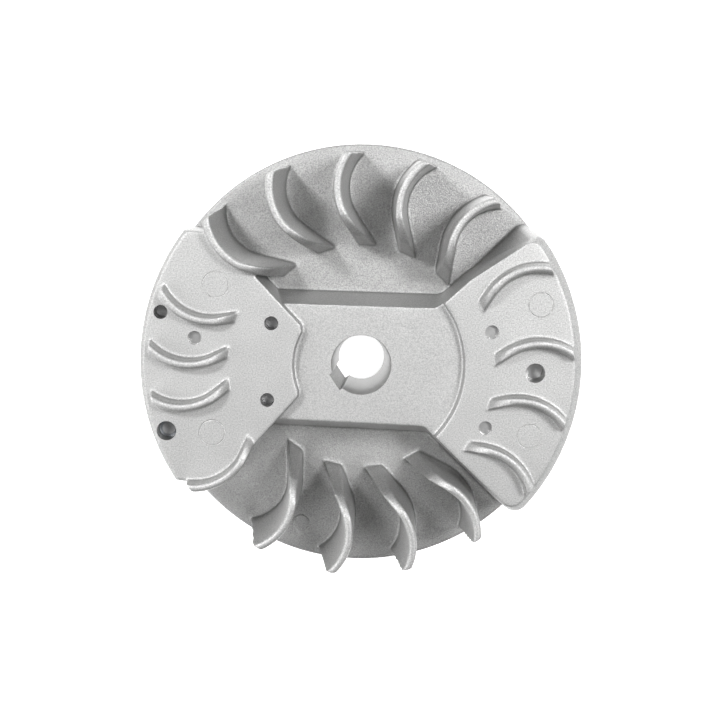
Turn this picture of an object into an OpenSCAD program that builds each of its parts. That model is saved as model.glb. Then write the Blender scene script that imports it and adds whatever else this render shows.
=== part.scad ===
// Cast flywheel and fan of a small two-stroke engine, fan side up.
// The origin is on the bore axis, in the plane of the back face.

/* [Casting] */
// Outer diameter of the wheel
wheel_d = 100; // [90:1:130]
// Thickness of the fan plate behind the blades
plate_t = 4.5; // [3.5:0.1:7]
// Height of the magnet pad and the counterweight pad above the fan plate
pad_rise = 16.5; // [15:0.5:22]
// Height of the hub bridge between the pads above the fan plate
bridge_rise = 14; // [10:0.5:14.5]
// Width of the hub bridge
bridge_w = 27; // [24:0.5:32]
// Turn of the hub bridge away from the X axis, in degrees
bridge_turn = -2; // [-5:0.5:5]
// Radius of the turned hub face, where the counterweight pad starts
hub_face_r = 23.3; // [20:0.1:26]
// Radius of the notch that the magnet pad leaves around the hub
hub_notch_r = 15.4; // [13:0.1:16]
// Bevel on the rim of the magnet pad
magnet_pad_bevel = 0.8; // [0.3:0.1:2]
// Bevel on the rim of the counterweight pad
weight_pad_bevel = 1.8; // [0.3:0.1:3]

/* [Crank seat] */
// Diameter of the taper at its wide end, in the hub bridge
taper_d = 13.6; // [12:0.1:18]
// Loss of diameter for each millimetre along the taper
taper_rate = 0.2; // [0.1:0.01:0.25]
// Width of the keyway
key_w = 4.2; // [3:0.1:5]
// Depth of the keyway below the wall of the taper
key_depth = 0.6; // [0.4:0.1:2]
// Direction of the keyway, in degrees
key_angle = 213.5; // [0:0.5:359.5]
// Diameter of the recess for the crank nut in the back
nut_recess_d = 22; // [20:0.5:26]
// Depth of the recess for the crank nut
nut_recess_depth = 4; // [3:0.1:6]

/* [Fan blades] */
// Thickness of a blade
blade_t = 2.6; // [2:0.1:3.5]
// Height of the blade tips above the fan plate
blade_rise = 20; // [18:0.5:26]
// Inner radius of the bend in each blade, on its hollow side
blade_bend_r = 11.2; // [9:0.1:13]
// Gap between the blade ends and the rim
blade_rim_gap = 2.2; // [1.5:0.1:4]
// Radius where a blade starts on the fan plate
blade_foot_r = 26.4; // [25:0.1:30]
// Radius where a blade leaves the surface of a pad
blade_pad_r = 29.8; // [28:0.1:32]
// Radius where a blade reaches its full height
blade_full_r = 33; // [32:0.1:36]

/* [Magnet group] */
// Length of the magnet along the radius
magnet_len = 16; // [12:0.5:18]
// Thickness of the magnet between the pole shoes
magnet_t = 10; // [8:0.5:10.5]
// Distance from the bore axis to the middle of the magnet
magnet_r = 28; // [27:0.5:31]
// Thickness of one lamination of a pole shoe
lamination_t = 1; // [0.8:0.05:1.2]
// Width of a pole shoe
shoe_w = 7; // [6:0.1:7.2]
// Diameter of the rivets that hold a pole shoe together
rivet_d = 2.2; // [1.8:0.1:2.4]
// Diameter of the rivet heads
rivet_head_d = 3; // [2.6:0.1:3.1]
// Height of the rivet heads
rivet_head_h = 0.7; // [0.4:0.1:1]

/* [Holes in the pads] */
// Diameter of the holes that the die pins leave
pin_hole_d = 3.2; // [3.1:0.1:3.6]
// Diameter of the drilled holes
drilled_hole_d = 4.5; // [4:0.1:5]
// Depth of the shallow pin marks
pin_mark_depth = 1.2; // [0.6:0.1:2]
// Depth of the drilled balance hole
balance_depth = 5; // [3:0.1:8]

/* [Back] */
// Radius of the flat hub ring on the back
back_hub_r = 18; // [15:0.5:22]
// Width of the flat rim ring on the back
back_rim_w = 8; // [5:0.5:12]
// Depth of the relief between the two rings
back_relief = 1.8; // [0.5:0.1:2]
// Width of the ribs across the relief
back_rib_w = 3; // [2:0.1:5]
// Number of ribs across the relief
back_ribs = 8; // [4:1:12]

/* [Hidden] */
$fn = 96;
wheel_r = wheel_d / 2;
pad_top = plate_t + pad_rise;
bridge_top = plate_t + bridge_rise;
blade_top = plate_t + blade_rise;
blade_end_r = wheel_r - blade_rim_gap;
taper_len = bridge_top - nut_recess_depth;
taper_small_d = taper_d - taper_rate * taper_len;
// Angle of each blade's outer foot, anticlockwise from +X. They are not evenly spaced,
// because three of them share the magnet pad with the pin holes.
weight_blade_angles = [319, 339.5, 359, 23];
upper_blade_angles = [46.5, 68, 88.6, 109.7, 131.2];
magnet_blade_angles = [154.5, 170, 184];
lower_blade_angles = [210.5, 235.5, 257, 278, 299];
first_pad_blade = upper_blade_angles[4];
last_pad_blade = lower_blade_angles[0];
// The bend's centre lies this far inside the rim, and this far to the hollow side.
bend_inset = 9.9;
bend_side = 6.65;
bend_centre = [wheel_r - bend_inset, -bend_side];
// Angles around the bend's centre where a blade starts, past the rim, and turns straight.
bend_start = 15;
bend_end = 124;
// The straight leg is this much thinner on each side than the bend, so the two join cleanly.
leg_inset = 0.06;
// The blade ends at the rim lean in by this much over their height.
blade_end_lean = 0.3;
// Cutting and trimming shapes reach this far past the surfaces that they cut.
overshoot = 1;
// The magnet group lies across the -X axis, this far above it.
magnet_side = 0.3;
lamination_count = 12;
stack_h = lamination_count * lamination_t;
stack_z = (pad_top - stack_h) / 2;
// Rivets of the pole shoes: distance from the rim or from the bore, and direction.
upper_rivet_in = polar(22.4, 154.2);
upper_rivet_out = polar(wheel_r - 3.4, 164.7);
lower_rivet_in = polar(22.6, 199.9);
lower_rivet_out = polar(wheel_r - 3.4, 198.5);
rivet_places = [upper_rivet_in, upper_rivet_out, lower_rivet_in, lower_rivet_out];
// Middles of the shallow marks, and of the drilled balance hole.
mark_places = [polar(38, 170.2), polar(30.4, 14.8), polar(31.5, 333.4)];
balance_place = polar(wheel_r - 10.7, 357.8);
// Corners of the magnet pad on the rim, and beside the hub.
magnet_rim_angles = [142, 212];
magnet_notch_angles = [145.7, 206.2];
magnet_notch_r = hub_notch_r + 0.6;
// The magnet pad's two long edges run inside its first and last blades, at these bends.
first_edge_bends = [bend_end, 105, 85, 65, 56];
last_edge_bends = [60, 80, 100, bend_end];
// Where each edge leaves its blade: how far along the leg, and from the hollow face.
first_corner_place = [0.6, blade_t + 0.5];
last_corner_place = [3, 0.26];
// Directions of the counterweight pad's two sides, which start at the bridge.
weight_side_angles = [41.6, -45];
weight_corner_x = [17, 14.8];
bridge_reach = 24;

upper_lamination_names = [for (i = [1:lamination_count]) str("upper_lamination_", i)];
lower_lamination_names = [for (i = [1:lamination_count]) str("lower_lamination_", i)];

function polar(r, a) = [r * cos(a), r * sin(a)];
function turned(p, a) = [p[0] * cos(a) - p[1] * sin(a), p[0] * sin(a) + p[1] * cos(a)];
// A point on a blade: its angle around the bend, how far along the straight leg,
// and how far from the hollow face.
function blade_point(blade_angle, bend, leg, side) =
    turned(bend_centre + polar(blade_bend_r + side, bend) + polar(leg, bend_end + 90), blade_angle);
function bridge_edge_y(x, side) = side * bridge_w / 2 + x * tan(bridge_turn);

// Plan of one blade: a bend near the rim that runs out into a straight leg.
module blade_plan() {
    reach = 2 * blade_bend_r + 3 * blade_t;
    bend_middle = (bend_start + bend_end) / 2;
    translate(bend_centre) {
        intersection() {
            difference() {
                circle(r = blade_bend_r + blade_t);
                circle(r = blade_bend_r);
            }
            polygon([[0, 0], polar(reach, bend_start), polar(reach, bend_middle), polar(reach, bend_end)]);
        }
        rotate(bend_end)
            translate([blade_bend_r + leg_inset, -blade_t / 2])
                square([blade_t - 2 * leg_inset, blade_foot_r]);
    }
}

module blades(angles) {
    intersection() {
        linear_extrude(height = blade_top)
            for (a = angles)
                rotate(a)
                    blade_plan();
        rotate_extrude()
            polygon([
                [blade_foot_r, plate_t / 2],
                [blade_foot_r, plate_t],
                [blade_pad_r, pad_top],
                [blade_full_r, blade_top],
                [blade_end_r - blade_end_lean, blade_top],
                [blade_end_r, plate_t],
                [blade_end_r, plate_t / 2]
            ]);
    }
}

// Solid of revolution that trims a pad to the rim, with its bevel.
module rim_trim(bevel) {
    rotate_extrude()
        polygon([
            [0, 0],
            [wheel_r, 0],
            [wheel_r, pad_top - bevel],
            [wheel_r - bevel, pad_top],
            [0, pad_top]
        ]);
}

module magnet_pad() {
    first_edge = [for (bend = first_edge_bends) blade_point(first_pad_blade, bend, 0, blade_t / 2)];
    last_edge = [for (bend = last_edge_bends) blade_point(last_pad_blade, bend, 0, blade_t / 2)];
    middle_angle = (magnet_rim_angles[0] + magnet_rim_angles[1]) / 2;
    intersection() {
        rim_trim(magnet_pad_bevel);
        linear_extrude(height = pad_top)
            difference() {
                polygon(concat(
                    [polar(magnet_notch_r, magnet_notch_angles[0])],
                    [blade_point(first_pad_blade, bend_end, first_corner_place[0], first_corner_place[1])],
                    first_edge,
                    [polar(wheel_r + overshoot, magnet_rim_angles[0])],
                    [polar(wheel_r * 1.25, middle_angle)],
                    [polar(wheel_r + overshoot, magnet_rim_angles[1])],
                    last_edge,
                    [blade_point(last_pad_blade, bend_end, last_corner_place[0], last_corner_place[1])],
                    [polar(magnet_notch_r, magnet_notch_angles[1])]
                ));
                circle(r = hub_notch_r);
            }
    }
}

// Plan of the counterweight pad, from the bridge out past the rim.
module weight_plan() {
    corners = [
        [weight_corner_x[0], bridge_edge_y(weight_corner_x[0], 1)],
        [weight_corner_x[1], bridge_edge_y(weight_corner_x[1], -1)]
    ];
    polygon([
        corners[0],
        corners[1],
        corners[1] + polar(wheel_r, weight_side_angles[1]),
        [2 * wheel_r, 0],
        corners[0] + polar(wheel_r, weight_side_angles[0])
    ]);
}

module weight_pad() {
    intersection() {
        rim_trim(weight_pad_bevel);
        linear_extrude(height = pad_top)
            difference() {
                weight_plan();
                circle(r = hub_face_r);
            }
    }
}

module bridge() {
    linear_extrude(height = bridge_top) {
        rotate(bridge_turn)
            translate([-bridge_reach, -bridge_w / 2])
                square([bridge_reach + weight_corner_x[0], bridge_w]);
        intersection() {
            weight_plan();
            circle(r = hub_face_r + overshoot);
        }
    }
}

module crank_seat() {
    spread = overshoot * taper_rate / 2;
    translate([0, 0, nut_recess_depth - overshoot])
        cylinder(h = taper_len + 2 * overshoot, r1 = taper_small_d / 2 - spread,
            r2 = taper_d / 2 + spread);
    translate([0, 0, -overshoot])
        cylinder(h = nut_recess_depth + overshoot, d = nut_recess_d);
    // The keyway's floor runs parallel to the wall of the taper.
    rotate(key_angle)
        translate([taper_small_d / 2 + key_depth, 0, nut_recess_depth])
            rotate([0, atan(taper_rate / 2), 0])
                translate([-taper_small_d / 2, -key_w / 2, -overshoot])
                    cube([taper_small_d / 2, key_w, taper_len + 3 * overshoot]);
}

module pad_holes() {
    for (place = rivet_places)
        translate([place[0], place[1], stack_z + stack_h])
            cylinder(h = pad_top, d = place == lower_rivet_out ? drilled_hole_d : pin_hole_d);
    for (place = mark_places)
        translate([place[0], place[1], pad_top - pin_mark_depth])
            cylinder(h = pad_top, d = pin_hole_d);
    translate([balance_place[0], balance_place[1], pad_top - balance_depth])
        cylinder(h = pad_top, d = drilled_hole_d);
}

module back_relief_cut() {
    translate([0, 0, -overshoot])
        linear_extrude(height = back_relief + overshoot)
            difference() {
                circle(r = wheel_r - back_rim_w);
                circle(r = back_hub_r);
                for (i = [0:back_ribs - 1])
                    rotate(i * 360 / back_ribs)
                        translate([0, -back_rib_w / 2])
                            square([wheel_r, back_rib_w]);
            }
}

// Plan of one lamination: a bar along its two rivets, with a heel against the magnet.
// The lower shoe (side -1) is drawn above the magnet's middle and then mirrored.
module shoe_plan(rivet_in, rivet_out, side) {
    start = [rivet_in[0], side * rivet_in[1]];
    along = [rivet_out[0], side * rivet_out[1]] - start;
    slope = along[1] / along[0];
    heel_x = [-magnet_r - magnet_len / 2, -magnet_r + magnet_len / 2];
    face_y = side * magnet_side + magnet_t / 2;
    difference() {
        intersection() {
            circle(r = wheel_r);
            mirror([0, side < 0 ? 1 : 0])
                union() {
                    translate(start)
                        circle(d = shoe_w);
                    translate(start)
                        rotate(atan2(along[1], along[0]))
                            translate([0, -shoe_w / 2])
                                square([wheel_r, shoe_w]);
                    polygon([
                        [heel_x[0], face_y],
                        [heel_x[1], face_y],
                        [heel_x[1], start[1]],
                        [heel_x[0], start[1] + slope * (heel_x[0] - start[0])]
                    ]);
                }
        }
        magnet_plan();
    }
}

module shoe_plans() {
    shoe_plan(upper_rivet_in, upper_rivet_out, 1);
    shoe_plan(lower_rivet_in, lower_rivet_out, -1);
}

module magnet_plan() {
    translate([-magnet_r - magnet_len / 2, magnet_side - magnet_t / 2])
        square([magnet_len, magnet_t]);
}

module magnet_block() {
    translate([0, 0, stack_z])
        linear_extrude(height = stack_h)
            magnet_plan();
}

module rivet(place) {
    translate([place[0], place[1], stack_z]) {
        cylinder(h = stack_h, d = rivet_d);
        translate([0, 0, stack_h])
            cylinder(h = rivet_head_h, d = rivet_head_d);
        translate([0, 0, -rivet_head_h])
            cylinder(h = rivet_head_h, d = rivet_head_d);
    }
}

module lamination(rivet_in, rivet_out, side, i) {
    translate([0, 0, stack_z + (i - 1) * lamination_t])
        linear_extrude(height = lamination_t)
            difference() {
                shoe_plan(rivet_in, rivet_out, side);
                translate(rivet_in)
                    circle(d = rivet_d);
                translate(rivet_out)
                    circle(d = rivet_d);
            }
}

// Die-cast aluminium body: fan plate, pads, bridge and blades in one piece.
module flywheel_casting() {
    color("gainsboro")
        difference() {
            union() {
                cylinder(h = plate_t, r = wheel_r);
                magnet_pad();
                weight_pad();
                bridge();
                blades(concat(weight_blade_angles, upper_blade_angles));
                blades(concat(magnet_blade_angles, lower_blade_angles));
            }
            crank_seat();
            pad_holes();
            back_relief_cut();
            translate([0, 0, stack_z])
                linear_extrude(height = stack_h)
                    shoe_plans();
            magnet_block();
            for (place = rivet_places)
                rivet(place);
        }
}

// Magnet block between the two pole shoes.
module magnet() {
    color("dimgray")
        magnet_block();
}

// Rivets through the two stacks of laminations.
module pole_rivets() {
    color("slategray")
        for (place = rivet_places)
            rivet(place);
}

module upper_lamination(i) {
    color("lightslategray")
        lamination(upper_rivet_in, upper_rivet_out, 1, i);
}

module lower_lamination(i) {
    color("lightslategray")
        lamination(lower_rivet_in, lower_rivet_out, -1, i);
}

flywheel_casting();
magnet();
pole_rivets();
for (i = [1:lamination_count])
    upper_lamination(i);
for (i = [1:lamination_count])
    lower_lamination(i);
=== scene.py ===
import math

import bpy
from mathutils import Matrix, Vector


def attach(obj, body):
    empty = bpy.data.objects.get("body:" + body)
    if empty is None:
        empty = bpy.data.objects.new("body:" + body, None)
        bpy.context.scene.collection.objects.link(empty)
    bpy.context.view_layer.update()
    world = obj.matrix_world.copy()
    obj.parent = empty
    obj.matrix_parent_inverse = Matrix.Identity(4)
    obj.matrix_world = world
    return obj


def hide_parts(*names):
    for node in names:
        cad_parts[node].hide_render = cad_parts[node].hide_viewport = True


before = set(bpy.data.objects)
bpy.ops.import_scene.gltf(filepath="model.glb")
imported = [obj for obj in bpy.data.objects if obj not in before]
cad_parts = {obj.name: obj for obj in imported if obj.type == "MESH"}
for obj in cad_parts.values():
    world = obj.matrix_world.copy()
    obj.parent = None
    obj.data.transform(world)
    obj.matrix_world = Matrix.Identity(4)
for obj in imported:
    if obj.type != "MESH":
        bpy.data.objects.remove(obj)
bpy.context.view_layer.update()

# Camera: it looks down on the fan side from about 300 mm, from a little towards the five
# upper blades, so that the tips of the four lower ones stand out past the rim.
mm = 0.001
camera_place = Vector((1.57, 40.2, 301.7)) * mm
camera_aim = Vector((-0.34, -0.82, 4.5)) * mm
camera_data = bpy.data.cameras.new("camera")
camera_data.lens = 62.94
camera_data.sensor_width = 36
camera = bpy.data.objects.new("camera", camera_data)
back = (camera_place - camera_aim).normalized()
right = Vector((0, 1, 0)).cross(back).normalized()
camera.location = camera_place
camera.rotation_euler = Matrix((right, back.cross(right), back)).transposed().to_euler()
bpy.context.collection.objects.link(camera)
bpy.context.scene.camera = camera

# Floor: a light table, a wide sheet of matt white acrylic lit from below, on which the
# wheel lies back down. It keeps the background and the view through the bore white.
floor_size = 6
floor_gap = 0.05 * mm
glow_in, glow_out = 0.1, 0.3
glow_middle, glow_edge = 0.85, 0.3


def colour(text):
    """An sRGB hex colour as Blender's linear RGBA."""
    parts = [int(text[i:i + 2], 16) / 255 for i in (1, 3, 5)]
    linear = [p / 12.92 if p <= 0.04045 else ((p + 0.055) / 1.055) ** 2.4 for p in parts]
    return (*linear, 1)


def add_node(tree, kind, settings=None, **links):
    """Adds a node with its settings, and joins or sets its inputs by name."""
    new = tree.nodes.new(kind)
    for name, value in (settings or {}).items():
        setattr(new, name, value)
    for name, value in links.items():
        socket = new.inputs[name.replace("_", " ")]
        if isinstance(value, bpy.types.NodeSocket):
            tree.links.new(value, socket)
        else:
            socket.default_value = value
    return new


def new_material(name):
    """An empty node material, and its tree and surface shader."""
    material = bpy.data.materials.new(name)
    material.use_nodes = True
    return material, material.node_tree, material.node_tree.nodes["Principled BSDF"]


bpy.ops.object.select_all(action="DESELECT")
bpy.ops.mesh.primitive_plane_add(size=floor_size, location=(0, 0, -floor_gap))
floor = bpy.context.object
floor.name = "floor"
# Opal acrylic: matt, white, and very slightly uneven where the light comes through.
cloud = 0.25
acrylic, acrylic_tree, acrylic_shader = new_material("opal_acrylic")
acrylic_place = add_node(acrylic_tree, "ShaderNodeTexCoord").outputs["Object"]
acrylic_cloud = add_node(acrylic_tree, "ShaderNodeTexNoise", Vector=acrylic_place, Scale=1 / cloud)
acrylic_tone = add_node(acrylic_tree, "ShaderNodeValToRGB", Fac=acrylic_cloud.outputs["Fac"])
acrylic_tone.color_ramp.elements[0].color = colour("#f2f2f2")
acrylic_tone.color_ramp.elements[1].color = colour("#f8f8f8")
acrylic_tree.links.new(acrylic_tone.outputs["Color"], acrylic_shader.inputs["Base Color"])
acrylic_tree.links.new(acrylic_tone.outputs["Color"], acrylic_shader.inputs["Emission Color"])
# The lamps below it are under the middle, and reach a little further than the wheel.
acrylic_radius = add_node(
    acrylic_tree, "ShaderNodeVectorMath", {"operation": "LENGTH"}, Vector=acrylic_place)
acrylic_glow = add_node(
    acrylic_tree, "ShaderNodeMapRange", {"interpolation_type": "SMOOTHSTEP"},
    Value=acrylic_radius.outputs["Value"], From_Min=glow_in, From_Max=glow_out,
    To_Min=glow_middle, To_Max=glow_edge)
acrylic_tree.links.new(acrylic_glow.outputs["Result"], acrylic_shader.inputs["Emission Strength"])
acrylic_shader.inputs["Roughness"].default_value = 0.9
floor.data.materials.append(acrylic)

# Light: a studio that is bright overhead and at the far end, and dark at the near end, with
# a soft box over each far corner and a wider one on each side.
near_end, far_end = -0.75, 0.2
near_strength, far_strength = 0.04, 0.38
light_distance = 0.8
world = bpy.data.worlds.new("studio")
world.use_nodes = True
studio = world.node_tree
studio_direction = add_node(studio, "ShaderNodeTexCoord").outputs["Generated"]
studio_axes = add_node(studio, "ShaderNodeSeparateXYZ", Vector=studio_direction)
studio_fall = add_node(
    studio, "ShaderNodeMapRange", {"interpolation_type": "SMOOTHSTEP"}, Value=studio_axes.outputs["Y"],
    From_Min=near_end, From_Max=far_end, To_Min=near_strength, To_Max=far_strength)
studio.links.new(studio_fall.outputs["Result"], studio.nodes["Background"].inputs["Strength"])
studio.nodes["Background"].inputs["Color"].default_value = colour("#ffffff")
bpy.context.scene.world = world
bpy.context.scene.view_settings.view_transform = "Standard"
for light_name, azimuth, elevation, watts, light_size in (
    ("far_left_soft_box", 137, 50, 4.0, 0.12),
    ("far_right_soft_box", 28, 56, 4.2, 0.2),
    ("left_fill", 205, 38, 3.0, 0.5),
    ("right_fill", -22, 46, 1.3, 0.5),
):
    lamp = bpy.data.lights.new(light_name, "AREA")
    lamp.energy = watts
    lamp.size = light_size
    lamp_object = bpy.data.objects.new(light_name, lamp)
    flat = math.cos(math.radians(elevation))
    direction = Vector((
        flat * math.cos(math.radians(azimuth)),
        flat * math.sin(math.radians(azimuth)),
        math.sin(math.radians(elevation)),
    ))
    lamp_object.location = direction * light_distance
    lamp_object.rotation_euler = direction.to_track_quat("Z", "Y").to_euler()
    bpy.context.collection.objects.link(lamp_object)

# Casting: the aluminium body, die-cast in one piece with its seventeen fan blades, the
# magnet pad on the left, the counterweight pad on the right and the bridge between them.
# The walls lean the way the die needs, and every corner is round where metal flowed.
wheel_r = 50
plate_t = 4.5
pad_top = 21
bridge_top = 18.5
blade_top = 24.5
# What stands on the plate starts inside it, and cutters reach past what they cut.
sunk = plate_t - 1.5
past = 1


def polar(radius, angle):
    return Vector((radius * math.cos(math.radians(angle)), radius * math.sin(math.radians(angle))))


def select_only(piece):
    bpy.ops.object.select_all(action="DESELECT")
    piece.select_set(True)
    bpy.context.view_layer.objects.active = piece


def modify(piece, kind, **settings):
    """Adds a modifier to a piece and applies it."""
    select_only(piece)
    modifier = piece.modifiers.new(kind.lower(), kind)
    for name, value in settings.items():
        setattr(modifier, name, value)
    bpy.ops.object.modifier_apply(modifier=modifier.name)


def combine(piece, tool, operation):
    """Cuts, keeps or joins a piece with a tool solid, which is used up."""
    modify(piece, "BOOLEAN", operation=operation, object=tool, solver="MANIFOLD")
    bpy.data.objects.remove(tool)


def rounded(corners, steps=5):
    """The outline through (point, radius) corners, with an arc at each that has a radius."""
    points = []
    for i, (corner, radius) in enumerate(corners):
        if not radius:
            points.append(corner)
            continue
        before = (corners[i - 1][0] - corner).normalized()
        after = (corners[(i + 1) % len(corners)][0] - corner).normalized()
        half = before.angle(after) / 2
        centre = corner + (before + after).normalized() * radius / math.sin(half)
        start = corner + before * radius / math.tan(half) - centre
        end = corner + after * radius / math.tan(half) - centre
        points += [centre + start.slerp(end, step / steps) * radius for step in range(steps + 1)]
    return points


def lofted(name, levels):
    """A closed solid through outlines of equal count, given as (height, outline) in millimetres."""
    count = len(levels[0][1])
    points = [(p.x * mm, p.y * mm, height * mm) for height, outline in levels for p in outline]
    faces = [tuple(range(count))[::-1], tuple(range(len(points) - count, len(points)))]
    for ring in range(0, len(points) - count, count):
        for i in range(count):
            j = (i + 1) % count
            faces.append((ring + i, ring + j, ring + count + j, ring + count + i))
    mesh = bpy.data.meshes.new(name)
    mesh.from_pydata(points, [], faces)
    piece = bpy.data.objects.new(name, mesh)
    bpy.context.collection.objects.link(piece)
    select_only(piece)
    bpy.ops.object.mode_set(mode="EDIT")
    bpy.ops.mesh.select_all(action="SELECT")
    bpy.ops.mesh.normals_make_consistent(inside=False)
    bpy.ops.object.mode_set(mode="OBJECT")
    return piece


def turned(name, profile, centre=(0, 0), sides=128):
    """A solid of revolution through (height, radius) steps, in millimetres."""
    middle = Vector(centre)
    return lofted(name, [
        (height, [middle + polar(radius, 360 * i / sides) for i in range(sides)])
        for height, radius in profile])


def rim_point(start, angle, radius):
    """Where a wall from start in a direction meets a circle about the bore."""
    step = polar(1, angle)
    along = start.dot(step)
    return start + step * (math.sqrt(along * along - start.length_squared + radius * radius) - along)


def rim_arc(first, last, radius, steps):
    """Points clockwise along the rim between two points, kept clear of both."""
    clear = 6
    a = math.degrees(math.atan2(first.y, first.x))
    b = math.degrees(math.atan2(last.y, last.x))
    return [polar(radius, a - clear + (b - a + 2 * clear) * i / steps) for i in range(steps + 1)]


# The fan blade: a wall swept round its bend and drawn out along its straight leg. Its hollow
# face leans back, its top is round, and its inner end slopes.
bend_centre = Vector((40.1, -6.65))
bend_r = 10.4
root_w = 3.6
ridge = (1.5, 3.35)
ridge_bevel = 0.75
bend_start, bend_end = 15, 124
bend_steps = 24
leg = 26
weld = 0.001 * mm
bpy.ops.object.select_all(action="DESELECT")
bpy.ops.mesh.primitive_plane_add(size=1 * mm, rotation=(math.radians(90), 0, math.radians(bend_start)))
blade = bpy.context.object
blade.name = "blade"
bpy.ops.object.transform_apply()
across = polar(1, bend_start)
for vertex in blade.data.vertices:
    outward = vertex.co.xy.dot(across) > 0
    low = vertex.co.z < 0
    side = (root_w if outward else 0) if low else ridge[outward]
    place = bend_centre + across * (bend_r + side)
    vertex.co = (place.x * mm, place.y * mm, (sunk if low else blade_top) * mm)
bpy.ops.object.mode_set(mode="EDIT")
bpy.ops.mesh.select_all(action="DESELECT")
bpy.ops.object.mode_set(mode="OBJECT")
for vertex in blade.data.vertices:
    vertex.select = vertex.co.z > plate_t * mm
bpy.ops.object.mode_set(mode="EDIT")
bpy.ops.mesh.select_mode(type="VERT")
bpy.ops.mesh.bevel(offset=ridge_bevel * mm, segments=4, affect="VERTICES")
bpy.ops.mesh.select_all(action="SELECT")
bpy.ops.mesh.spin(
    steps=bend_steps, angle=-math.radians(bend_end - bend_start), axis=(0, 0, 1),
    center=(bend_centre.x * mm, bend_centre.y * mm, 0))
leg_step = polar(leg, bend_end + 90) * mm
bpy.ops.mesh.extrude_region_move(TRANSFORM_OT_translate={"value": (leg_step.x, leg_step.y, 0)})
bpy.ops.mesh.select_all(action="SELECT")
bpy.ops.mesh.remove_doubles(threshold=weld)
bpy.ops.mesh.normals_make_consistent(inside=False)
bpy.ops.object.mode_set(mode="OBJECT")
# It ends just short of the rim. Its inner end slopes up from the plate and then turns over
# into the ridge in a quarter of an ellipse.
blade_end_r, end_lean = 47.8, 0.2
ring_profile = [(sunk, blade_end_r + end_lean), (blade_top, blade_end_r - end_lean)]
combine(blade, turned("ring", ring_profile), "INTERSECT")
blade_foot_r, blade_full_r = 26.4, 35.5
foot_flare = 0.5
slope_turn, slope_turn_r = 16.5, 28.9
slope_steps = 10
slope_profile = [
    (sunk - past, blade_foot_r - foot_flare), (plate_t, blade_foot_r), (slope_turn, slope_turn_r)]
for i in range(1, slope_steps + 1):
    rise = math.sin(math.radians(90 / slope_steps * i))
    run = 1 - math.cos(math.radians(90 / slope_steps * i))
    slope_profile.append(
        (slope_turn + (blade_top - slope_turn) * rise, slope_turn_r + (blade_full_r - slope_turn_r) * run))
slope_profile.append((blade_top + past, blade_full_r))
combine(blade, turned("slopes", slope_profile), "DIFFERENCE")
# How far each blade is turned about the bore. They are not evenly spaced, because three of
# them share the magnet pad with the rivet holes.
blade_angles = (319, 339.5, 359, 23, 46.5, 68, 88.6, 109.7, 131.2, 154.5, 170, 184,
                210.5, 235.5, 257, 278, 299)
raw_parts = []
for angle in blade_angles:
    copy = bpy.data.objects.new("blade", blade.data.copy())
    bpy.context.collection.objects.link(copy)
    copy.data.transform(Matrix.Rotation(math.radians(angle), 4, "Z"))
    raw_parts.append(copy)
bpy.data.objects.remove(blade)

# The fan plate, with its edges broken. It is slightly dished, so that it thins towards the rim.
rim_t, root_t, dish_r = 3.8, 5.2, 26
plate_bevel = 0.4
plate = turned("plate", [(0, wheel_r), (rim_t, wheel_r), (root_t, dish_r)], sides=192)
modify(plate, "BEVEL", width=plate_bevel * mm, segments=2, limit_method="ANGLE")
raw_parts.append(plate)


def meet(p, a, q, b):
    """Where the line through p at angle a crosses the line through q at angle b."""
    u, v, gap = polar(1, a), polar(1, b), q - p
    return p + u * (gap.cross(v) / u.cross(v))


# The bridge and the counterweight pad share one outline, because their walls run together.
# The walls lean out towards the plate, and the pad's upper wall opens towards the rim.
pad_wall_angle, pad_wall_opening = 41.6, 8.6
lower_pad_angle = -45
upper_pad_knee, lower_pad_knee = Vector((24.6, 19.6)), Vector((20, -19.4))
bridge_half, bridge_reach = 13.5, 24
upper_edge_turn, lower_edge_turn = -1.9, -2.9
upper_lean, lower_lean = 2.1, 3.9
upper_pad_lean, lower_pad_lean = 0.4, 2.1
upper_inner_round, lower_inner_round, knee_round = 3, 2.5, 4
upper_rim_round, lower_rim_round = 2.4, 3
rim_steps = 30


def hub_outline(height, rim):
    """The outline of the bridge and the counterweight pad at a height, out to a rim radius."""
    pad_depth = (pad_top - height) / (pad_top - plate_t)
    depth = (bridge_top - height) / (bridge_top - plate_t)
    upper_edge = Vector((0, bridge_half + upper_lean * depth))
    lower_edge = Vector((0, -bridge_half - lower_lean * depth))
    upper_knee = upper_pad_knee + polar(upper_pad_lean * pad_depth, pad_wall_angle + 90)
    lower_knee = lower_pad_knee + polar(lower_pad_lean * pad_depth, lower_pad_angle - 90)
    upper_rim = rim_point(upper_knee, pad_wall_angle - pad_wall_opening * (1 - pad_depth), rim)
    lower_rim = rim_point(lower_knee, lower_pad_angle, rim)
    return rounded(
        [(upper_edge - polar(bridge_reach, upper_edge_turn), 0)]
        + [(meet(upper_edge, upper_edge_turn, upper_knee, pad_wall_angle), upper_inner_round)]
        + [(upper_knee, knee_round), (upper_rim, upper_rim_round)]
        + [(place, 0) for place in rim_arc(upper_rim, lower_rim, rim, rim_steps)]
        + [(lower_rim, lower_rim_round)]
        + [(meet(lower_edge, lower_edge_turn, lower_knee, lower_pad_angle), lower_inner_round)]
        + [(lower_edge - polar(bridge_reach, lower_edge_turn), 0)])


weight_bevel = 1.8
hub = lofted("hub", [
    (sunk, hub_outline(sunk, wheel_r)),
    (pad_top - weight_bevel, hub_outline(pad_top - weight_bevel, wheel_r)),
    (pad_top, hub_outline(pad_top, wheel_r - weight_bevel)),
])
hub_face_r, hub_face_lean = 23.3, 0.2
hub_face_profile = [(bridge_top, hub_face_r), (pad_top + past, hub_face_r + hub_face_lean)]
combine(hub, turned("hub_face", hub_face_profile), "DIFFERENCE")
raw_parts.append(hub)


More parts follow.
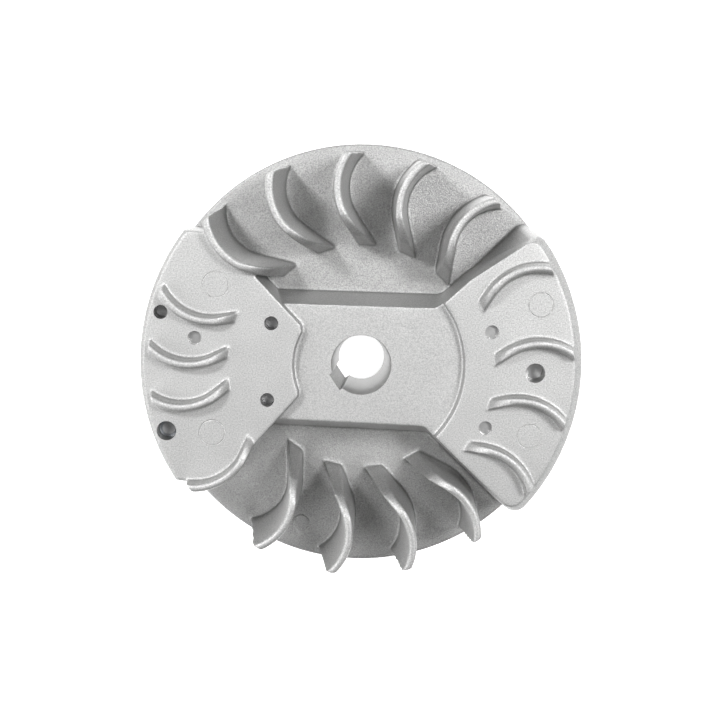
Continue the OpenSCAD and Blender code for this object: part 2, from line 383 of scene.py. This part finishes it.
# The magnet pad fills the space between two blades, and leaves a notch around the hub.
def on_blade(angle, bend, side):
    """A point beside the hollow face of a blade, at an angle round its bend."""
    place = bend_centre + polar(bend_r + side, bend)
    place.rotate(Matrix.Rotation(math.radians(angle), 2))
    return place


def magnet_outline(rim):
    """The outline of the magnet pad, out to a rim radius."""
    first, last = blade_angles[8], blade_angles[12]
    middle = root_w / 2
    corner = 0.8
    notch_r = 15.4
    upper_rim, lower_rim = polar(rim, 142), polar(rim, 212)
    upper_notch, lower_notch = polar(16.4, 145.5), polar(16.0, 206.2)
    return rounded(
        [(upper_notch, corner), (on_blade(first, bend_end, 3), 0)]
        + [(on_blade(first, bend, middle), 0) for bend in (110, 90, 70)]
        + [(upper_rim, corner)]
        + [(polar(rim, angle), 0) for angle in range(146, 209, 4)]
        + [(lower_rim, corner)]
        + [(on_blade(last, bend, middle), 0) for bend in (60, 80, 100)]
        + [(on_blade(last, bend_end, 2.6), 0), (lower_notch, corner)]
        + [(polar(notch_r, angle), 0) for angle in range(202, 149, -4)])


magnet_bevel = 0.8
magnet_pad = lofted("magnet_pad", [
    (sunk, magnet_outline(wheel_r)),
    (pad_top - magnet_bevel, magnet_outline(wheel_r)),
    (pad_top, magnet_outline(wheel_r - magnet_bevel)),
])
raw_parts.append(magnet_pad)

# The back is relieved between the hub and the rim, with eight ribs left standing.
ribs, rib_half = 8, 1.5
rib_gap = 360 / ribs
inner_round, outer_round = 1.2, 2
relief_in, relief_out, relief_depth = 18, 42, 1.8
edge_in = math.degrees(math.asin(rib_half / relief_in))
edge_out = math.degrees(math.asin(rib_half / relief_out))
pocket_outline = rounded(
    [(polar(relief_in, edge_in), inner_round), (polar(relief_out, edge_out), outer_round)]
    + [(polar(relief_out, edge_out + (rib_gap - 2 * edge_out) * i / 8), 0) for i in range(1, 8)]
    + [(polar(relief_out, rib_gap - edge_out), outer_round)]
    + [(polar(relief_in, rib_gap - edge_in), inner_round)]
    + [(polar(relief_in, rib_gap - edge_in - (rib_gap - 2 * edge_in) * i / 5), 0) for i in range(1, 5)])
for i in range(ribs):
    turn = Matrix.Rotation(math.radians(rib_gap * i), 2)
    outline = [turn @ p for p in pocket_outline]
    combine(plate, lofted("pocket", [(-past, outline), (relief_depth, outline)]), "DIFFERENCE")

# The parts flow together as cast metal does: one skin, smoothed so that each edge and root
# gets its radius, then thinned where it is flat.
bpy.ops.object.select_all(action="DESELECT")
for part in raw_parts:
    part.select_set(True)
bpy.context.view_layer.objects.active = plate
bpy.ops.object.join()
casting = plate
casting.name = "casting"
casting.data.name = "casting"
skin_mesh = 0.24
modify(casting, "REMESH", mode="VOXEL", voxel_size=skin_mesh * mm)
modify(casting, "SMOOTH", factor=0.5, iterations=9)
# The blades' inner ends are rounder, above the pads and in the two recesses beside the bridge.
tip_in, pad_tip_out, recess_tip_out = 25, 34, 30
above_pad, plate_skin = pad_top + 0.25, plate_t - 1
recess_y = 20.5
tips = casting.vertex_groups.new(name="tips")
for vertex in casting.data.vertices:
    from_axis = vertex.co.xy.length / mm
    on_pad = vertex.co.z / mm > above_pad and tip_in < from_axis < pad_tip_out
    in_recess = abs(vertex.co.y) / mm > recess_y and tip_in < from_axis < recess_tip_out
    if on_pad or (in_recess and vertex.co.z / mm > plate_skin):
        tips.add([vertex.index], 1, "REPLACE")
modify(casting, "SMOOTH", factor=0.5, iterations=26, vertex_group="tips")
casting.vertex_groups.clear()
triangles = 2 * len(casting.data.polygons)
triangle_limit = 180000
modify(casting, "DECIMATE", ratio=min(1, triangle_limit / triangles))
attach(casting, "root")
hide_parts("flywheel_casting")

# Die-cast aluminium, shot-blasted: a pale grey metal with a fine, even grain that scatters
# the light. The plate between the blades is coarser than the pads, and its colour is darkened
# there as painted shade. The real grit marks are about 0.1 mm, and they are drawn three
# times as large so that they show.
grit_mark = 0.3 * mm
grit_depth = 0.08 * mm
grit_low, grit_high = 0.3, 0.7
stain = 11 * mm
alloy, alloy_tree, alloy_shader = new_material("shot_blasted_aluminium")
alloy_shader.inputs["Metallic"].default_value = 1.0
alloy_place = add_node(alloy_tree, "ShaderNodeTexCoord").outputs["Object"]
alloy_grit = add_node(
    alloy_tree, "ShaderNodeTexNoise", Vector=alloy_place, Scale=1 / grit_mark, Detail=2.0, Roughness=0.7)
alloy_stain = add_node(
    alloy_tree, "ShaderNodeTexNoise", Vector=alloy_place, Scale=1 / stain, Detail=3.0, Roughness=0.6)
alloy_tone = add_node(alloy_tree, "ShaderNodeValToRGB", Fac=alloy_grit.outputs["Fac"])
alloy_tone.color_ramp.elements[0].position = grit_low
alloy_tone.color_ramp.elements[0].color = colour("#a8a8a8")
alloy_tone.color_ramp.elements[1].position = grit_high
alloy_tone.color_ramp.elements[1].color = colour("#cfcfce")
alloy_cloud = add_node(alloy_tree, "ShaderNodeValToRGB", Fac=alloy_stain.outputs["Fac"])
alloy_cloud.color_ramp.elements[0].color = colour("#eeeeee")
alloy_cloud.color_ramp.elements[1].color = colour("#ffffff")
alloy_colour = add_node(
    alloy_tree, "ShaderNodeMix", {"data_type": "RGBA", "blend_type": "MULTIPLY"})
alloy_colour.inputs[0].default_value = 1
alloy_tree.links.new(alloy_tone.outputs["Color"], alloy_colour.inputs[6])
alloy_tree.links.new(alloy_cloud.outputs["Color"], alloy_colour.inputs[7])
alloy_height = add_node(alloy_tree, "ShaderNodeSeparateXYZ", Vector=alloy_place)
# Painted shade: the colour is darkened to 0.84 on the plate between the blades and walls, up to 1 mm above
# its top, and rises to full colour 3 mm above it.
plate_painted_shade = add_node(
    alloy_tree, "ShaderNodeMapRange", Value=alloy_height.outputs["Z"],
    From_Min=(plate_t + 1) * mm, From_Max=(plate_t + 3) * mm, To_Min=0.84, To_Max=1.0)
# Base colour: the grain tone times the stain cloud, with the painted shade on the plate.
alloy_tone_and_painted_shade = add_node(
    alloy_tree, "ShaderNodeHueSaturation", Color=alloy_colour.outputs[2],
    Value=plate_painted_shade.outputs["Result"])
alloy_tree.links.new(alloy_tone_and_painted_shade.outputs["Color"], alloy_shader.inputs["Base Color"])
alloy_gloss = add_node(
    alloy_tree, "ShaderNodeMapRange", Value=alloy_grit.outputs["Fac"],
    From_Min=grit_low, From_Max=grit_high, To_Min=0.7, To_Max=0.5)
alloy_tree.links.new(alloy_gloss.outputs["Result"], alloy_shader.inputs["Roughness"])
alloy_coarse = add_node(
    alloy_tree, "ShaderNodeMapRange", Value=alloy_height.outputs["Z"],
    From_Min=(plate_t + 1) * mm, From_Max=(plate_t + 4) * mm, To_Min=1.0, To_Max=0.3)
alloy_bump = add_node(
    alloy_tree, "ShaderNodeBump", Strength=alloy_coarse.outputs["Result"], Distance=grit_depth,
    Height=alloy_grit.outputs["Fac"])
alloy_tree.links.new(alloy_bump.outputs["Normal"], alloy_shader.inputs["Normal"])

# Aluminium cut by a tool, in the crank seat and the holes: smoother than the cast skin, with
# fine rings along each hole's axis. At a scale of 1 the wave texture repeats every 0.314 m.
ring_pitch = 0.25 * mm
ring_depth = 0.02 * mm
wave_repeat = 0.314
cut_alloy, cut_tree, cut_shader = new_material("machined_aluminium")
cut_shader.inputs["Metallic"].default_value = 1.0
cut_place = add_node(cut_tree, "ShaderNodeTexCoord").outputs["Object"]
cut_rings = add_node(
    cut_tree, "ShaderNodeTexWave", {"bands_direction": "Z"}, Vector=cut_place,
    Scale=wave_repeat / ring_pitch, Distortion=1.5, Detail=2.0, Detail_Scale=3.0)
cut_tone = add_node(cut_tree, "ShaderNodeValToRGB", Fac=cut_rings.outputs["Fac"])
cut_tone.color_ramp.elements[0].color = colour("#b6b6b6")
cut_tone.color_ramp.elements[1].color = colour("#cdcdcc")
cut_tree.links.new(cut_tone.outputs["Color"], cut_shader.inputs["Base Color"])
cut_shader.inputs["Roughness"].default_value = 0.38
cut_bump = add_node(
    cut_tree, "ShaderNodeBump", Strength=0.25, Distance=ring_depth, Height=cut_rings.outputs["Fac"])
cut_tree.links.new(cut_bump.outputs["Normal"], cut_shader.inputs["Normal"])
casting.data.materials.clear()
casting.data.materials.append(alloy)
casting.data.materials.append(cut_alloy)

# The crank seat: a taper for the crankshaft's end, a shallow keyway in its wall, and a wide
# recess for the nut in the back.
recess_depth, recess_r = 4, 11
taper_slope = 0.1
taper_end_r = 6.8
mouth_bevel = 0.12
taper_start_r = taper_end_r - taper_slope * (bridge_top - recess_depth)
shoulder = 0.001
seat = turned("seat", [
    (-past, recess_r), (recess_depth, recess_r), (recess_depth + shoulder, taper_start_r),
    (bridge_top - mouth_bevel, taper_end_r - taper_slope * mouth_bevel),
    (bridge_top + past, taper_end_r + past)])
key_w, key_depth, key_angle = 4.3, 0.6, 213.5
key_turn = Matrix.Rotation(math.radians(key_angle), 2)
key_levels = []
for height, reach in ((recess_depth - past, taper_start_r), (bridge_top + past, taper_end_r)):
    floor_r, half_w = reach + key_depth, key_w / 2
    corners = ((0, -half_w), (floor_r, -half_w), (floor_r, half_w), (0, half_w))
    key_levels.append((height, [key_turn @ Vector(corner) for corner in corners]))
combine(seat, lofted("key", key_levels), "UNION")

# Holes in the pads, each with its place, radius and bottom: four over the rivets, of which
# one is drilled, three shallow marks of the die pins, and the drilled balance hole.
pin_r, drill_r = 1.6, 2.25
pin_depth, balance_depth = 1.2, 5
hole_taper = 0.97
sheets, sheet_t = 12, 1
stack_low, stack_high = plate_t, plate_t + sheets * sheet_t
rivet_in = (polar(22.4, 154.2), polar(22.6, 199.9))
rivet_out = (polar(46.6, 164.7), polar(46.6, 198.5))
holes = [(place, pin_r, stack_high) for place in (rivet_in[0], rivet_in[1], rivet_out[0])]
holes.append((rivet_out[1], drill_r, stack_high))
pin_marks = (polar(38, 170.2), polar(30.4, 14.8), polar(31.5, 333.4))
holes += [(place, pin_r, pad_top - pin_depth) for place in pin_marks]
holes.append((polar(39.3, 357.8), drill_r, pad_top - balance_depth))
for place, radius, bottom in holes:
    hole_profile = [(bottom, radius * hole_taper), (blade_top, radius)]
    combine(seat, turned("hole", hole_profile, place, sides=40), "UNION")

# The pockets of the magnet group: a bar for each pole shoe, and a block for the magnet.
shoe_w = 7
for inner, outer in zip(rivet_in, rivet_out):
    along = (outer - inner).normalized()
    side = Vector((-along.y, along.x)) * shoe_w / 2
    bar = [inner - side, outer + along * shoe_w - side, outer + along * shoe_w + side, inner + side]
    combine(seat, lofted("bar", [(stack_low, bar), (stack_high, bar)]), "UNION")
block_in, block_out, block_low, block_high = -20, -36, -9, 9.6
block = [
    Vector(corner) for corner in (
        (block_out, block_low), (block_in, block_low), (block_in, block_high), (block_out, block_high))]
combine(seat, lofted("block", [(stack_low, block), (stack_high, block)]), "UNION")

# The ejector pins leave a fine ring wherever they push the casting out of the die: each has
# its place, the height of the face, the radius of the pin, and half the width of the groove.
for place, level, radius, groove in (
    (polar(37.1, 204.3), pad_top, 2.9, 0.2),
    (polar(37.4, 150.4), pad_top, 2.9, 0.14),
    (polar(41.4, -22.8), pad_top, 2.75, 0.15),
    (polar(42.6, 19), pad_top, 2.75, 0.15),
    (polar(43.3, 250.2), rim_t + 0.4, 2, 0.18),
):
    bpy.ops.object.select_all(action="DESELECT")
    bpy.ops.mesh.primitive_torus_add(
        location=(place.x * mm, place.y * mm, level * mm), major_segments=64, minor_segments=8,
        major_radius=radius * mm, minor_radius=groove * mm)
    ejector_ring = bpy.context.object
    bpy.ops.object.transform_apply()
    combine(seat, ejector_ring, "UNION")
seat.data.materials.append(cut_alloy)
combine(casting, seat, "DIFFERENCE")

# Faces inside the bore and the holes have the cut finish, and all others the cast one.
skin, lip = 0.02, 0.05
for face in casting.data.polygons:
    x, y, z = (c / mm for c in face.center)
    taper_r = taper_end_r - taper_slope * (bridge_top - z)
    in_recess = z < recess_depth + skin and math.hypot(x, y) < recess_r + skin
    in_taper = z < bridge_top - skin and math.hypot(x, y) < taper_r + lip
    in_hole = any(math.hypot(x - place.x, y - place.y) < radius + skin for place, radius, _ in holes)
    face.material_index = int((in_recess or in_taper) and z > skin or in_hole and z < pad_top - lip)
select_only(casting)
bpy.ops.object.shade_smooth_by_angle(angle=math.radians(40))

# Pole shoes: two stacks of twelve laminations, stamped from silicon steel, cast into the
# magnet pad and turned flush with the rim. Each keeps the small radius of its punched edge.
steel, steel_tree, steel_shader = new_material("silicon_steel_sheet")
steel_shader.inputs["Metallic"].default_value = 1.0
steel_place = add_node(steel_tree, "ShaderNodeTexCoord").outputs["Object"]
rolling_mark = 0.4 * mm
steel_grain = add_node(
    steel_tree, "ShaderNodeTexNoise", Vector=steel_place, Scale=1 / rolling_mark, Detail=4.0)
steel_tone = add_node(steel_tree, "ShaderNodeValToRGB", Fac=steel_grain.outputs["Fac"])
steel_tone.color_ramp.elements[0].color = colour("#6d6f73")
steel_tone.color_ramp.elements[1].color = colour("#8f9296")
steel_tree.links.new(steel_tone.outputs["Color"], steel_shader.inputs["Base Color"])
steel_gloss = add_node(
    steel_tree, "ShaderNodeMapRange", Value=steel_grain.outputs["Fac"], To_Min=0.3, To_Max=0.5)
steel_tree.links.new(steel_gloss.outputs["Result"], steel_shader.inputs["Roughness"])
punched_edge = 0.08
for shoe in ("upper", "lower"):
    for i in range(1, sheets + 1):
        node_name = f"{shoe}_lamination_{i}"
        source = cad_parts[node_name]
        sheet = bpy.data.objects.new(f"{shoe}_sheet_{i}", source.data.copy())
        bpy.context.collection.objects.link(sheet)
        sheet.data.transform(source.matrix_world)
        select_only(sheet)
        bpy.ops.object.mode_set(mode="EDIT")
        bpy.ops.mesh.select_all(action="SELECT")
        bpy.ops.mesh.remove_doubles(threshold=weld)
        bpy.ops.mesh.dissolve_limited(angle_limit=math.radians(1))
        bpy.ops.object.mode_set(mode="OBJECT")
        modify(sheet, "BEVEL", width=punched_edge * mm, segments=2, limit_method="ANGLE")
        sheet.data.materials.clear()
        sheet.data.materials.append(steel)
        bpy.ops.object.shade_smooth_by_angle(angle=math.radians(35))
        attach(sheet, "root")
        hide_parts(node_name)

# Magnet: one sintered block with a black skin, wholly inside the pad between the shoes.
black, black_tree, black_shader = new_material("sintered_magnet")
black_place = add_node(black_tree, "ShaderNodeTexCoord").outputs["Object"]
sinter_grain = 0.5 * mm
black_grain = add_node(
    black_tree, "ShaderNodeTexNoise", Vector=black_place, Scale=1 / sinter_grain, Detail=4.0)
black_tone = add_node(black_tree, "ShaderNodeValToRGB", Fac=black_grain.outputs["Fac"])
black_tone.color_ramp.elements[0].color = colour("#242426")
black_tone.color_ramp.elements[1].color = colour("#3a3a3d")
black_tree.links.new(black_tone.outputs["Color"], black_shader.inputs["Base Color"])
black_shader.inputs["Roughness"].default_value = 0.6

# Rivets: zinc-plated steel, with a grey head that shows at the bottom of each rivet hole.
zinc, zinc_tree, zinc_shader = new_material("zinc_plated_steel")
zinc_shader.inputs["Metallic"].default_value = 1.0
zinc_place = add_node(zinc_tree, "ShaderNodeTexCoord").outputs["Object"]
zinc_spangle = 0.3 * mm
zinc_grain = add_node(
    zinc_tree, "ShaderNodeTexNoise", Vector=zinc_place, Scale=1 / zinc_spangle, Detail=4.0)
zinc_tone = add_node(zinc_tree, "ShaderNodeValToRGB", Fac=zinc_grain.outputs["Fac"])
zinc_tone.color_ramp.elements[0].color = colour("#7f7f80")
zinc_tone.color_ramp.elements[1].color = colour("#a5a5a6")
zinc_tree.links.new(zinc_tone.outputs["Color"], zinc_shader.inputs["Base Color"])
zinc_shader.inputs["Roughness"].default_value = 0.5
for node_name, finish in (("magnet", black), ("pole_rivets", zinc)):
    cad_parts[node_name].data.materials.clear()
    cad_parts[node_name].data.materials.append(finish)
